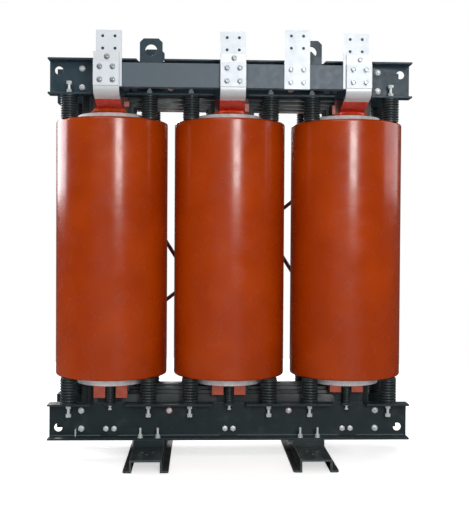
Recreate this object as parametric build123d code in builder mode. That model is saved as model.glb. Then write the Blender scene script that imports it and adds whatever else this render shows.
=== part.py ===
"""Cast-resin dry type transformer: three coils on a stepped core, held by four channel clamps."""
import os
from math import atan2, cos, degrees, hypot, pi, sqrt

from build123d import *

os.makedirs("parts", exist_ok=True)

# Driving dimensions in millimetres.
# X runs along the row of coils, -Y is the low-voltage side, +Z is up, and Z 0 is the floor.

# Row of phases
phases = ["a", "b", "c"]
coil_gap = 36

# Base skids: bent hat sections that run front to back
skid_length = 920
skid_web_width = 146
skid_foot_width = 210
skid_height = 58
skid_plate = 8
skid_corner = 14
skid_spacing = 782
wheel_hole_circle = 60
wheel_hole_diameter = 12
wheel_hole_inset = 140
spacer_width = 150
spacer_height = 30

# Channel clamps
clamp_overhang = 16
clamp_height = 174
clamp_plate = 9
clamp_flange = 70
notch_web_width = 154
notch_tip_width = 168
pad_tab_width = 44
towing_hole_diameter = 40
towing_hole_inset = 44
towing_hole_upper_drop = 50
towing_hole_lower_rise = 49

# Stepped core: sheet width of each packet, and the stack's half thickness out to that packet
core_packets = [(240, 35), (220, 59), (190, 81), (155, 98)]
yoke_lower_gap = 8
yoke_upper_gap = 33
pull_plate_width = 120
pull_plate = 8
pull_plate_inset = 30
board_plate = 5
board_margin = 6
board_fit = 1

# High-voltage coils
coil_outer_radius = 277
coil_wall = 55
coil_height = 1257
coil_edge = 12
hv_upper_drop = 188
hv_lower_rise = 138
hv_boss_radius = 36
hv_boss_length = 62
hv_boss_taper = 6
tap_pad_width = 190
tap_pad_height = 330
tap_pad_proud = 20
tap_link_width = 26
tap_link_length = 106
tap_link_plate = 18
boss_root = 12
pad_root = 22

# Low-voltage windings
lv_wall = 42
lv_core_clearance = 3
lv_lower_overhang = 41
lv_upper_overhang = 31

# Ribbed supports between the clamps and the coils
post_lower_height = 127
post_upper_height = 115
post_depth = 155
post_seat = 25.5
post_radius = 38
post_core_radius = 30
post_cap = 14
post_sheds = 3
post_sides = 12
post_cap_step = 2
pad_radius = 19
pad_inset = 20
pad_shifts = [7, 0, -11]

# Low-voltage leads, terminals and their beam
beam_height = 112
beam_flange = 50
beam_plate = 8
beam_end = 12
beam_shift = 6
beam_face = 323
beam_rise = 15
lead_width = 120
lead_plate = 12
lead_shift = 3
lead_above_beam = 46
lead_inset = 22
lead_exit_rise = 28
lead_dip = 27
lead_small_bend = 20
lead_large_bend = 33
front_plate = 10
terminal_plate = 10
terminal_draw_in = 12
terminal_shift = 2
terminal_rise = 148
neutral_shift = 8
neutral_rise = 160
neutral_drop = 4
terminal_hole_diameter = 14
terminal_hole_spacing = 57
terminal_hole_inset = 28
collar_width = 158
collar_depth = 30
collar_height = 6
lead_fit = 1
lead_board_width = 166
lead_board = 6
lead_board_gap = 5
lead_board_inset = 40
bottom_block_width = 57
bottom_block_depth = 34
bottom_block_heights = [60, 46, 33]
bottom_block_shifts = [9, -3, -12]
bottom_block_spacing = 108
bottom_block_inset = 35
bracket_foot = 64
bracket_plate = 8
bracket_fit = 1.5
bracket_gap = 11.5

# Lifting lugs
lug_width = 111
lug_plate = 12
lug_rise = 110
lug_seat = 40
lug_corner = 19
lug_hole_diameter = 57
lug_hole_drop = 57
lug_gap = 4
lug_flare = 8

# High-voltage delta links
link_radius = 11
link_stand = 40
link_cross_gap = 10

# Places in the row of phases that follow from the sizes above
phase_pitch = 2 * coil_outer_radius + coil_gap
limb_x = [-phase_pitch, 0, phase_pitch]
clamp_length = 2 * (phase_pitch + coil_outer_radius + clamp_overhang)
terminal_pitch = phase_pitch - terminal_draw_in
lead_x = [x + lead_shift for x in limb_x]
terminal_x = [terminal_shift - terminal_pitch, terminal_shift, terminal_shift + terminal_pitch]
neutral_x = phase_pitch / 2 + neutral_shift
beam_length = 2 * (terminal_pitch + beam_end) + lead_width
lug_x = skid_spacing / 2
bracket_spacing = skid_spacing + lug_width + bracket_foot + 2 * bracket_gap

# Radii and depths that follow
yoke_width, first_packet = core_packets[0]
core_half = core_packets[-1][1]
lv_inner_radius = hypot(yoke_width / 2, first_packet) + lv_core_clearance
lv_outer_radius = lv_inner_radius + lv_wall
coil_inner_radius = coil_outer_radius - coil_wall
pull_plate_face = core_half + pull_plate
web_inner = pull_plate_face + board_plate
web_outer = web_inner + clamp_plate
flange_tip = web_outer + clamp_flange
post_half_spacing = sqrt((coil_inner_radius + post_seat) ** 2 - post_depth**2)
pad_x = [x + shift for x, shift in zip(limb_x, pad_shifts)]
pad_depth = lv_outer_radius - pad_inset
pad_tab_tip = pad_depth + pad_radius
bottom_block_y = lv_outer_radius - bottom_block_inset
lead_board_depth = lv_outer_radius - lead_board_inset
lead_foot = lv_outer_radius - lead_inset
lead_back = beam_face + terminal_plate
front_back = lead_back + lead_plate
link_plane = coil_outer_radius + hv_boss_length + link_stand

# Heights that follow
lower_clamp_z = skid_height + spacer_height
lower_clamp_top = lower_clamp_z + clamp_height
coil_bottom = lower_clamp_top + post_lower_height
coil_top = coil_bottom + coil_height
upper_clamp_z = coil_top + post_upper_height
upper_clamp_top = upper_clamp_z + clamp_height
lv_bottom = coil_bottom - lv_lower_overhang
lv_top = coil_top + lv_upper_overhang
yoke_lower_z = lv_bottom - yoke_lower_gap - yoke_width / 2
yoke_upper_z = lv_top + yoke_upper_gap + yoke_width / 2
beam_z = upper_clamp_z + beam_rise
beam_top = beam_z + beam_height
bracket_height = beam_height - 2 * beam_plate - 2 * bracket_fit
lead_board_height = upper_clamp_z - lv_top - lead_board_gap
hv_upper_z = coil_top - hv_upper_drop
hv_lower_z = coil_bottom + hv_lower_rise
lug_top = upper_clamp_top + lug_rise


def save(piece, node):
    """Label a finished piece and write it as its own STEP file."""
    piece.label = node
    export_step(piece, f"parts/{node}.step")


def both_sides(front_part):
    """A front piece and its mirror image at the back."""
    with BuildPart() as pair:
        add(front_part)
        mirror(front_part, about=Plane.XZ)
    return pair.part


# ---------------------------------------------------------------- base skids

def base_skid(x):
    """A hat section: flat web on top, two walls, two feet turned outwards."""
    half_web = skid_web_width / 2
    half_foot = skid_foot_width / 2
    with BuildPart() as skid:
        with BuildSketch(Plane.XZ.offset(-skid_length / 2)):
            with BuildLine():
                Polyline(
                    (x - half_foot, 0),
                    (x - half_web + skid_plate, 0),
                    (x - half_web + skid_plate, skid_height - skid_plate),
                    (x + half_web - skid_plate, skid_height - skid_plate),
                    (x + half_web - skid_plate, 0),
                    (x + half_foot, 0),
                    (x + half_foot, skid_plate),
                    (x + half_web, skid_plate),
                    (x + half_web, skid_height),
                    (x - half_web, skid_height),
                    (x - half_web, skid_plate),
                    (x - half_foot, skid_plate),
                    close=True,
                )
            make_face()
        extrude(amount=skid_length)
        foot_corners = skid.edges().filter_by(Axis.Z).filter_by(
            lambda edge: abs(abs(edge.center().X - x) - half_foot) < 1
        )
        fillet(foot_corners, skid_corner)
        for end in (-1, 1):
            centre_y = end * (skid_length / 2 - wheel_hole_inset)
            with Locations((x, centre_y, skid_height)):
                with PolarLocations(wheel_hole_circle / 2, 3, start_angle=90 * end):
                    Hole(wheel_hole_diameter / 2, depth=skid_plate)
    return skid.part


save(base_skid(-skid_spacing / 2), "base_skid_left")
save(base_skid(skid_spacing / 2), "base_skid_right")

with BuildPart() as base_spacers:
    spacer_y = (web_inner + flange_tip) / 2
    with BuildSketch(Plane.XY.offset(skid_height)):
        with GridLocations(skid_spacing, 2 * spacer_y, 2, 2):
            Rectangle(spacer_width, flange_tip - web_inner)
    extrude(amount=spacer_height)
save(base_spacers.part, "base_spacers")


# ---------------------------------------------------------------- stepped core

def stepped_stack(outline):
    """Stack the packets of sheet; outline gives a sheet's corners for its half width."""
    with BuildPart() as stack:
        near = 0
        for width, far in core_packets:
            for side in (-1, 1):
                with BuildSketch(Plane.XZ.offset(-side * near)):
                    with BuildLine():
                        Polyline(*outline(width / 2), close=True)
                    make_face()
                extrude(amount=-side * (far - near))
            near = far
    return stack.part


def outer_limb(side):
    """Sheet outline of an outer limb, mitred at 45 degrees into both yokes."""
    x = side * phase_pitch

    def outline(half):
        return [
            (x - side * half, yoke_lower_z + half),
            (x + side * half, yoke_lower_z - half),
            (x + side * half, yoke_upper_z + half),
            (x - side * half, yoke_upper_z - half),
        ]

    return outline


def middle_limb(half):
    """Sheet outline of the middle limb, pointed where it enters the yokes."""
    return [
        (-half, yoke_lower_z + half),
        (0, yoke_lower_z),
        (half, yoke_lower_z + half),
        (half, yoke_upper_z - half),
        (0, yoke_upper_z),
        (-half, yoke_upper_z - half),
    ]


def yoke(centre_z, inwards):
    """Sheet outline of a yoke; inwards is +1 for the lower yoke and -1 for the upper."""

    def outline(half):
        inner_z = centre_z + inwards * half
        outer_z = centre_z - inwards * half
        return [
            (-phase_pitch - half, outer_z),
            (phase_pitch + half, outer_z),
            (phase_pitch - half, inner_z),
            (half, inner_z),
            (0, centre_z),
            (-half, inner_z),
            (-phase_pitch + half, inner_z),
        ]

    return outline


save(stepped_stack(outer_limb(-1)), "core_limb_left")
save(stepped_stack(middle_limb), "core_limb_middle")
save(stepped_stack(outer_limb(1)), "core_limb_right")
save(stepped_stack(yoke(yoke_lower_z, 1)), "core_yoke_lower")
save(stepped_stack(yoke(yoke_upper_z, -1)), "core_yoke_upper")

with BuildPart() as pull_plates_front:
    with BuildSketch(Plane.XZ.offset(core_half)):
        with Locations(*[(x, (lower_clamp_z + upper_clamp_top) / 2) for x in limb_x]):
            Rectangle(pull_plate_width, upper_clamp_top - lower_clamp_z - 2 * pull_plate_inset)
    extrude(amount=pull_plate)
save(both_sides(pull_plates_front.part), "pull_plates")


def yoke_board(clamp_z):
    """Insulating board between a clamp and the core, grooved for the pull plates."""
    with BuildPart() as board:
        with BuildSketch(Plane.XZ.offset(core_half)):
            with Locations((0, clamp_z + clamp_height / 2)):
                Rectangle(2 * phase_pitch + yoke_width, clamp_height - 2 * board_margin)
        extrude(amount=pull_plate + board_plate)
        with BuildSketch(Plane.XZ.offset(core_half)):
            with Locations(*[(x, clamp_z + clamp_height / 2) for x in limb_x]):
                Rectangle(pull_plate_width + 2 * board_fit, clamp_height)
        extrude(amount=pull_plate, mode=Mode.SUBTRACT)
    return board.part


save(both_sides(yoke_board(lower_clamp_z)), "yoke_boards_lower")
save(both_sides(yoke_board(upper_clamp_z)), "yoke_boards_upper")


# ---------------------------------------------------------------- clamps

def flange_notch(x, z, web_width, tip_width):
    """The shape cut out of a flange between two slanted ends."""
    with BuildSketch(Plane.XY.offset(z)) as notch:
        with BuildLine():
            Polyline(
                (x - web_width / 2, -web_outer),
                (x + web_width / 2, -web_outer),
                (x + tip_width / 2, -flange_tip),
                (x - tip_width / 2, -flange_tip),
                close=True,
            )
        make_face()
    return notch.sketch


def pad_tab(x, z):
    """The short tongue of flange left in a notch, which carries a winding's pad."""
    with BuildSketch(Plane.XY.offset(z)) as tab:
        with Locations((x, -(web_outer + pad_tab_tip) / 2)):
            Rectangle(pad_tab_width, pad_tab_tip - web_outer)
    return tab.sketch


def clamp(z, coil_flange_z, towing_z):
    """Front channel clamp, web against the core and flanges turned away from it."""
    with BuildPart() as channel:
        with BuildSketch(Plane.YZ.offset(-clamp_length / 2)):
            with BuildLine():
                Polyline(
                    (-web_inner, z),
                    (-flange_tip, z),
                    (-flange_tip, z + clamp_plate),
                    (-web_outer, z + clamp_plate),
                    (-web_outer, z + clamp_height - clamp_plate),
                    (-flange_tip, z + clamp_height - clamp_plate),
                    (-flange_tip, z + clamp_height),
                    (-web_inner, z + clamp_height),
                    close=True,
                )
            make_face()
        extrude(amount=clamp_length)
        for x, tab_x in zip(limb_x, pad_x):
            notch = flange_notch(x, coil_flange_z, notch_web_width, notch_tip_width)
            extrude(notch, amount=clamp_plate, mode=Mode.SUBTRACT)
            extrude(pad_tab(tab_x, coil_flange_z), amount=clamp_plate)
        towing_x = clamp_length / 2 - towing_hole_inset
        with BuildSketch(Plane.XZ.offset(web_inner)):
            with Locations((-towing_x, towing_z), (towing_x, towing_z)):
                Circle(towing_hole_diameter / 2)
        extrude(amount=clamp_plate, mode=Mode.SUBTRACT)
    return channel.part


lower_clamp = clamp(
    lower_clamp_z,
    lower_clamp_top - clamp_plate,
    lower_clamp_z + towing_hole_lower_rise,
)
save(lower_clamp, "lower_clamp_front")
save(lower_clamp.mirror(Plane.XZ), "lower_clamp_back")

with BuildPart() as upper_clamp:
    add(
        clamp(
            upper_clamp_z,
            upper_clamp_z,
            upper_clamp_top - towing_hole_upper_drop,
        )
    )
    for x in (-lug_x, lug_x):
        slot_width = lug_width + 2 * lug_gap
        slot = flange_notch(x, upper_clamp_top - clamp_plate, slot_width, slot_width + 2 * lug_flare)
        extrude(slot, amount=clamp_plate, mode=Mode.SUBTRACT)
save(upper_clamp.part, "upper_clamp_front")
save(upper_clamp.part.mirror(Plane.XZ), "upper_clamp_back")


# ---------------------------------------------------------------- windings

def hv_coil(x):
    """A cast coil: a thick resin tube with two terminal bosses and a tap pad at the back."""
    with BuildPart() as coil:
        with BuildSketch(Plane.XY.offset(coil_bottom)):
            with Locations((x, 0)):
                Circle(coil_outer_radius)
        extrude(amount=coil_height)
        chamfer(coil.edges().filter_by(GeomType.CIRCLE), coil_edge)
        with BuildSketch(Plane((x, coil_outer_radius - boss_root, 0), z_dir=(0, 1, 0), x_dir=(1, 0, 0))):
            with Locations((0, -hv_lower_z), (0, -hv_upper_z)):
                RegularPolygon(hv_boss_radius, post_sides)
        extrude(amount=boss_root + hv_boss_length, taper=hv_boss_taper)
        with BuildSketch(Plane.XZ.offset(-coil_outer_radius + pad_root)):
            with Locations((x, (hv_lower_z + hv_upper_z) / 2)):
                Rectangle(tap_pad_width, tap_pad_height)
        extrude(amount=-pad_root - tap_pad_proud)
        with BuildSketch(Plane.XY.offset(coil_bottom)):
            with Locations((x, 0)):
                Circle(coil_inner_radius)
        extrude(amount=coil_height, mode=Mode.SUBTRACT)
    return coil.part


def lv_winding(x):
    """A foil winding: a tube that stands out past both ends of its coil."""
    with BuildPart() as winding:
        with BuildSketch(Plane.XY.offset(lv_bottom)):
            with Locations((x, 0)):
                Circle(lv_outer_radius)
                Circle(lv_inner_radius, mode=Mode.SUBTRACT)
        extrude(amount=lv_top - lv_bottom)
    return winding.part


for phase, x in zip(phases, limb_x):
    save(hv_coil(x), f"hv_coil_{phase}")
    save(lv_winding(x), f"lv_winding_{phase}")


# ---------------------------------------------------------------- supports

def ribbed_post(height):
    """A ribbed moulded support that stands on the origin, with a plain cap at its top."""
    rib_pitch = (height - post_cap) / post_sheds
    levels = [(0, post_core_radius)]
    for rib in range(post_sheds):
        levels.append(((rib + 0.5) * rib_pitch, post_radius))
        levels.append(((rib + 1) * rib_pitch, post_core_radius))
    levels[-1] = (height - post_cap, post_radius - post_cap_step)
    levels.append((height, post_radius - post_cap_step))
    with BuildPart() as post:
        for (low_z, low_radius), (high_z, high_radius) in zip(levels, levels[1:]):
            with BuildSketch(Plane.XY.offset(low_z)):
                RegularPolygon(low_radius, post_sides)
            inwards = (low_radius - high_radius) * cos(pi / post_sides)
            extrude(amount=high_z - low_z, taper=degrees(atan2(inwards, high_z - low_z)))
    return post.part


post_places = [
    (x + side * post_half_spacing, depth)
    for x in limb_x
    for side in (-1, 1)
    for depth in (-post_depth, post_depth)
]

with BuildPart() as lower_posts:
    with Locations(*[(x, y, lower_clamp_top) for x, y in post_places]):
        add(ribbed_post(post_lower_height))
save(lower_posts.part, "lower_coil_supports")

with BuildPart() as upper_posts:
    with Locations(*[Location((x, y, upper_clamp_z), (180, 0, 0)) for x, y in post_places]):
        add(ribbed_post(post_upper_height))
save(upper_posts.part, "upper_coil_supports")

with BuildPart() as winding_pads:
    with BuildSketch(Plane.XY.offset(lower_clamp_top)):
        with Locations(*[(x, side * pad_depth) for x in pad_x for side in (-1, 1)]):
            RegularPolygon(pad_radius, post_sides)
    extrude(amount=lv_bottom - lower_clamp_top)
    with BuildSketch(Plane.XY.offset(lv_top)):
        with Locations(*[(x, pad_depth) for x in pad_x]):
            RegularPolygon(pad_radius, post_sides)
    extrude(amount=upper_clamp_z - lv_top)
save(winding_pads.part, "winding_pads")


# ---------------------------------------------------------------- low-voltage side

with BuildPart() as bottom_blocks:
    for x, shift, height in zip(limb_x, bottom_block_shifts, bottom_block_heights):
        with BuildSketch(Plane.XY.offset(lv_bottom)):
            with Locations((x + shift, -bottom_block_y)):
                with GridLocations(bottom_block_spacing, 0, 2, 1):
                    Rectangle(bottom_block_width, bottom_block_depth)
        extrude(amount=-height)
save(bottom_blocks.part, "lead_end_blocks")

with BuildPart() as lead_boards:
    with BuildSketch(Plane.XY.offset(lv_top)):
        with Locations(*[(x, -lead_board_depth - lead_board / 2) for x in lead_x]):
            Rectangle(lead_board_width, lead_board)
    extrude(amount=lead_board_height)
save(lead_boards.part, "lead_boards")

with BuildPart() as lead_collars:
    for x, centre in zip(limb_x, lead_x):
        with BuildSketch(Plane.XY.offset(lv_top)):
            with Locations((x, 0)):
                Circle(lv_outer_radius)
            with Locations((centre, -lead_board_depth - lead_board - collar_depth / 2)):
                Rectangle(collar_width, collar_depth, mode=Mode.INTERSECT)
            with Locations((centre, -lead_foot - lead_plate / 2)):
                Rectangle(lead_width + 2 * lead_fit, lead_plate + 2 * lead_fit, mode=Mode.SUBTRACT)
        extrude(amount=collar_height)
save(lead_collars.part, "lead_collars")


def lead_bar(x):
    """A flat bar: up out of the winding, forward with a gentle rise, then up the beam's face."""
    with BuildPart() as bar:
        with BuildSketch(Plane.YZ.offset(x - lead_width / 2)):
            with BuildLine():
                FilletPolyline(
                    (-lead_foot, lv_top),
                    (-lead_foot, lv_top + lead_exit_rise),
                    (-lead_back, beam_z - lead_dip),
                    (-lead_back, beam_top + lead_above_beam),
                    radius=[lead_small_bend, lead_large_bend],
                )
                offset(amount=lead_plate, side=Side.LEFT)
            make_face()
        extrude(amount=lead_width)
    return bar.part


def front_plate_at(x):
    """The plate that presses a lead against its terminal and the beam."""
    with BuildPart() as plate:
        with BuildSketch(Plane.XZ.offset(front_back)):
            with Locations((x, beam_z + beam_height / 2)):
                Rectangle(lead_width, beam_height)
        extrude(amount=front_plate)
    return plate.part


def terminal(x, bottom_z, top_z):
    """A flat terminal with four bolt holes at its top."""
    with BuildPart() as plate:
        with BuildSketch(Plane.XZ.offset(beam_face)):
            with Locations((x, (bottom_z + top_z) / 2)):
                Rectangle(lead_width, top_z - bottom_z)
            with Locations((x, top_z - terminal_hole_inset - terminal_hole_spacing / 2)):
                with GridLocations(terminal_hole_spacing, terminal_hole_spacing, 2, 2):
                    Circle(terminal_hole_diameter / 2, mode=Mode.SUBTRACT)
        extrude(amount=terminal_plate)
    return plate.part


for phase, x, plate_x in zip(phases, lead_x, terminal_x):
    save(lead_bar(x), f"lv_lead_{phase}")
    save(front_plate_at(x), f"lv_front_plate_{phase}")
    save(terminal(plate_x, beam_z, beam_top + terminal_rise), f"lv_terminal_{phase}")
save(terminal(neutral_x, beam_z - neutral_drop, beam_top + neutral_rise), "neutral_terminal")

with BuildPart() as terminal_beam:
    with BuildSketch(Plane.YZ.offset(beam_shift - beam_length / 2)):
        with BuildLine():
            Polyline(
                (-beam_face, beam_z),
                (-beam_face + beam_flange, beam_z),
                (-beam_face + beam_flange, beam_z + beam_plate),
                (-beam_face + beam_plate, beam_z + beam_plate),
                (-beam_face + beam_plate, beam_top - beam_plate),
                (-beam_face + beam_flange, beam_top - beam_plate),
                (-beam_face + beam_flange, beam_top),
                (-beam_face, beam_top),
                close=True,
            )
        make_face()
    extrude(amount=beam_length)
save(terminal_beam.part, "terminal_beam")


def beam_bracket(x):
    """A welded bracket from the upper clamp's web to the inside of the beam."""
    reach = beam_face - beam_plate - web_outer
    with BuildPart() as bracket:
        with BuildSketch(Plane.XY.offset(beam_z + (beam_height - bracket_height) / 2)):
            with Locations((x, -web_outer - reach / 2)):
                Rectangle(bracket_plate, reach)
                with GridLocations(0, reach - bracket_plate, 1, 2):
                    Rectangle(bracket_foot, bracket_plate)
        extrude(amount=bracket_height)
    return bracket.part


save(beam_bracket(-bracket_spacing / 2), "beam_bracket_left")
save(beam_bracket(bracket_spacing / 2), "beam_bracket_right")


# ---------------------------------------------------------------- lifting lugs

def lifting_lug(x):
    """An upright plate welded to a clamp's web, with a shackle hole and cut corners."""
    bottom_z = upper_clamp_z + lug_seat
    with BuildPart() as lug:
        with BuildSketch(Plane.XZ.offset(web_outer)):
            with Locations((x, (bottom_z + lug_top) / 2)):
                Rectangle(lug_width, lug_top - bottom_z)
        extrude(amount=lug_plate)
        corners = lug.edges().filter_by(Axis.Y).group_by(Axis.Z)[-1]
        chamfer(corners, lug_corner)
        with BuildSketch(Plane.XZ.offset(web_outer)):
            with Locations((x, lug_top - lug_hole_drop)):
                Circle(lug_hole_diameter / 2)
        extrude(amount=lug_plate, mode=Mode.SUBTRACT)
    return lug.part


for hand, x in (("left", -lug_x), ("right", lug_x)):
    lug = lifting_lug(x)
    save(lug, f"lifting_lug_front_{hand}")
    save(lug.mirror(Plane.XZ), f"lifting_lug_back_{hand}")


# ---------------------------------------------------------------- high-voltage side

def delta_link(start, end, plane):
    """An insulated rod from one boss to another, standing off the coils by its plane."""
    (start_x, start_z), (end_x, end_z) = start, end
    boss_face = coil_outer_radius + hv_boss_length
    with BuildPart() as link:
        with BuildLine():
            Polyline(
                (start_x, boss_face, start_z),
                (start_x, plane, start_z),
                (end_x, plane, end_z),
                (end_x, boss_face, end_z),
            )
        with BuildSketch(Plane((start_x, boss_face, start_z), z_dir=(0, 1, 0))):
            Circle(link_radius)
        sweep(transition=Transition.RIGHT)
    return link.part


left_x, middle_x, right_x = limb_x
outer_plane = link_plane + 2 * link_radius + link_cross_gap
save(delta_link((left_x, hv_upper_z), (middle_x, hv_lower_z), link_plane), "delta_link_left")
save(delta_link((middle_x, hv_upper_z), (right_x, hv_lower_z), link_plane), "delta_link_right")
save(delta_link((right_x, hv_upper_z), (left_x, hv_lower_z), outer_plane), "delta_link_long")

with BuildPart() as tap_links:
    with BuildSketch(Plane.XZ.offset(-coil_outer_radius - tap_pad_proud)):
        with Locations(*[(x, (hv_lower_z + hv_upper_z) / 2) for x in limb_x]):
            Rectangle(tap_link_width, tap_link_length)
    extrude(amount=-tap_link_plate)
save(tap_links.part, "tap_links")
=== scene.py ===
import math

import bmesh
import bpy
from mathutils import Matrix, Vector


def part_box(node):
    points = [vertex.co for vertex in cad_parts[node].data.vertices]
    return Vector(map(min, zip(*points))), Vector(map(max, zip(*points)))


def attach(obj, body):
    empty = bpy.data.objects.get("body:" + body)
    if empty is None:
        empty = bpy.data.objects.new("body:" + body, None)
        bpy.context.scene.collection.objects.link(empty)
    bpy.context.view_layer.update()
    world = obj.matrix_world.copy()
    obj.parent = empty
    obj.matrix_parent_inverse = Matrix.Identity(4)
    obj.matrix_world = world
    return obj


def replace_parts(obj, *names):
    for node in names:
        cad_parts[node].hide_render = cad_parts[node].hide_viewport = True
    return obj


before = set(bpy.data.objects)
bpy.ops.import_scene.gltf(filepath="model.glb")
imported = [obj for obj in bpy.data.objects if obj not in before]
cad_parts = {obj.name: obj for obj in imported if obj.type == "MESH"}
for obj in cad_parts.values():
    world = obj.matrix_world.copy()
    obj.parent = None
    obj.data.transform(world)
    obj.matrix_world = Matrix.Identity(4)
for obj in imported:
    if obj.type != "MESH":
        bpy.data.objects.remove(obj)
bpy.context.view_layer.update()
MM = 0.001
print("CAD nodes:", len(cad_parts))

# %% [markdown]
# ## Sizes read from the model
#
# Every place below comes from the box of a CAD node, so the dressing follows the solids.
# %% Read the sizes
PHASES = ["a", "b", "c"]
coil_box = {phase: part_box(f"hv_coil_{phase}") for phase in PHASES}
winding_box = {phase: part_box(f"lv_winding_{phase}") for phase in PHASES}
limb_x = {phase: (coil_box[phase][0][0] + coil_box[phase][1][0]) / 2 for phase in PHASES}
coil_bottom = coil_box["b"][0][2]
coil_top = coil_box["b"][1][2]
coil_radius = -coil_box["b"][0][1]
winding_radius = -winding_box["b"][0][1]
winding_bottom = winding_box["b"][0][2]
winding_top = winding_box["b"][1][2]

lower_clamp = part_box("lower_clamp_front")
upper_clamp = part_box("upper_clamp_front")
lower_clamp_z, lower_clamp_top = lower_clamp[0][2], lower_clamp[1][2]
upper_clamp_z, upper_clamp_top = upper_clamp[0][2], upper_clamp[1][2]
web_inner = -lower_clamp[1][1]
clamp_plate = 9 * MM
web_outer = web_inner + clamp_plate

terminal_box = {phase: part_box(f"lv_terminal_{phase}") for phase in PHASES}
neutral_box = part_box("neutral_terminal")
front_plate_box = {phase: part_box(f"lv_front_plate_{phase}") for phase in PHASES}
lead_box = {phase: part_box(f"lv_lead_{phase}") for phase in PHASES}
skid_boxes = [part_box("base_skid_left"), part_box("base_skid_right")]
limb_places = [round(x / MM) for x in limb_x.values()]
print("coil radius mm:", round(coil_radius / MM, 1), " limb x mm:", limb_places)

# %% [markdown]
# ## Materials
#
# Colours are written as sRGB hex and turned into linear light. Each pattern is sized in
# millimetres of the real object, because object coordinates are metres here.
# %% Material helpers
def linear(hex_colour):
    """Linear RGBA of an sRGB hex colour."""
    channels = [int(hex_colour[i : i + 2], 16) / 255 for i in (1, 3, 5)]
    light = [c / 12.92 if c <= 0.04045 else ((c + 0.055) / 1.055) ** 2.4 for c in channels]
    return (*light, 1.0)


def add_node(tree, kind, inputs=None, **settings):
    """Add one shader node; inputs maps a socket's name or number to a value or to an output."""
    made = tree.nodes.new(kind)
    for name, value in settings.items():
        setattr(made, name, value)
    for socket, value in (inputs or {}).items():
        if isinstance(value, bpy.types.NodeSocket):
            tree.links.new(value, made.inputs[socket])
        else:
            made.inputs[socket].default_value = value
    return made


def object_place(tree):
    """The shaded point in the object's own coordinates, in metres."""
    return add_node(tree, "ShaderNodeTexCoord").outputs["Object"]


def component(tree, vector, axis):
    """One component of a vector."""
    return add_node(tree, "ShaderNodeSeparateXYZ", {0: vector}).outputs[axis]


def calculated(tree, operation, first, second=0.0):
    """The result of one calculation on two values."""
    return add_node(tree, "ShaderNodeMath", {0: first, 1: second}, operation=operation).outputs[0]


def spots(tree, size_mm, detail=3.0, stretch=(1, 1, 1)):
    """Noise from 0 to 1 whose features are about size_mm across, stretched along each axis."""
    scale = [1 / share for share in stretch]
    moved = add_node(tree, "ShaderNodeMapping", {"Vector": object_place(tree), "Scale": scale})
    inputs = {"Vector": moved.outputs[0], "Scale": 1000 / size_mm, "Detail": detail}
    return add_node(tree, "ShaderNodeTexNoise", inputs).outputs["Fac"]


def ramp(tree, value, low, high, to_low=0.0, to_high=1.0):
    """Map value from low..high to to_low..to_high, clamped and smooth."""
    made = add_node(
        tree,
        "ShaderNodeMapRange",
        {"Value": value, "From Min": low, "From Max": high, "To Min": to_low, "To Max": to_high},
        interpolation_type="SMOOTHSTEP",
    )
    return made.outputs["Result"]


def mixed(tree, factor, first, second):
    """Blend two colours, each a hex text or an output, by a factor."""
    made = add_node(tree, "ShaderNodeMix", {"Factor": factor}, data_type="RGBA")
    # Inputs 6 and 7 and output 2 are this node's colours
    for socket, value in ((made.inputs[6], first), (made.inputs[7], second)):
        if isinstance(value, bpy.types.NodeSocket):
            tree.links.new(value, socket)
        else:
            socket.default_value = linear(value)
    return made.outputs[2]


def bumped(tree, height, depth_mm, under=None):
    """A bump of the given depth from a 0 to 1 height."""
    inputs = {"Height": height, "Distance": depth_mm * MM, "Strength": 1.0}
    if under is not None:
        inputs["Normal"] = under
    return add_node(tree, "ShaderNodeBump", inputs).outputs["Normal"]


def new_material(name, colour, roughness, metallic=0.0):
    """A named material with a principled surface; returns it with its tree and surface node."""
    material = bpy.data.materials.new(name)
    material.use_nodes = True
    tree = material.node_tree
    surface = tree.nodes["Principled BSDF"]
    surface.inputs["Base Color"].default_value = linear(colour)
    surface.inputs["Roughness"].default_value = roughness
    surface.inputs["Metallic"].default_value = metallic
    material.diffuse_color = linear(colour)
    return material, tree, surface


def connect(tree, surface, **sockets):
    """Link outputs to the surface's inputs; an underscore in a name stands for a space."""
    for name, output in sockets.items():
        tree.links.new(output, surface.inputs[name.replace("_", " ")])


# %% Cast resin
def make_cast_resin():
    """Pigmented epoxy from a steel mould: even colour, faint ring marks, a glossy skin."""
    material, tree, surface = new_material("cast epoxy resin", "#a63801", 0.24)
    cloud = ramp(tree, spots(tree, 260, 2), 0.35, 0.7)
    # Mould rings every few centimetres up the coil
    rings = ramp(tree, spots(tree, 26, 2, (60, 60, 1)), 0.3, 0.75)
    connect(
        tree,
        surface,
        Base_Color=mixed(tree, cloud, "#a03400", "#ac3c02"),
        Roughness=ramp(tree, spots(tree, 90, 4), 0.3, 0.7, 0.2, 0.3),
        Normal=bumped(tree, spots(tree, 3, 2), 0.03, bumped(tree, rings, 0.12)),
    )
    surface.inputs["Specular IOR Level"].default_value = 0.5
    surface.inputs["Coat Weight"].default_value = 0.2
    surface.inputs["Coat Roughness"].default_value = 0.12
    return material


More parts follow.
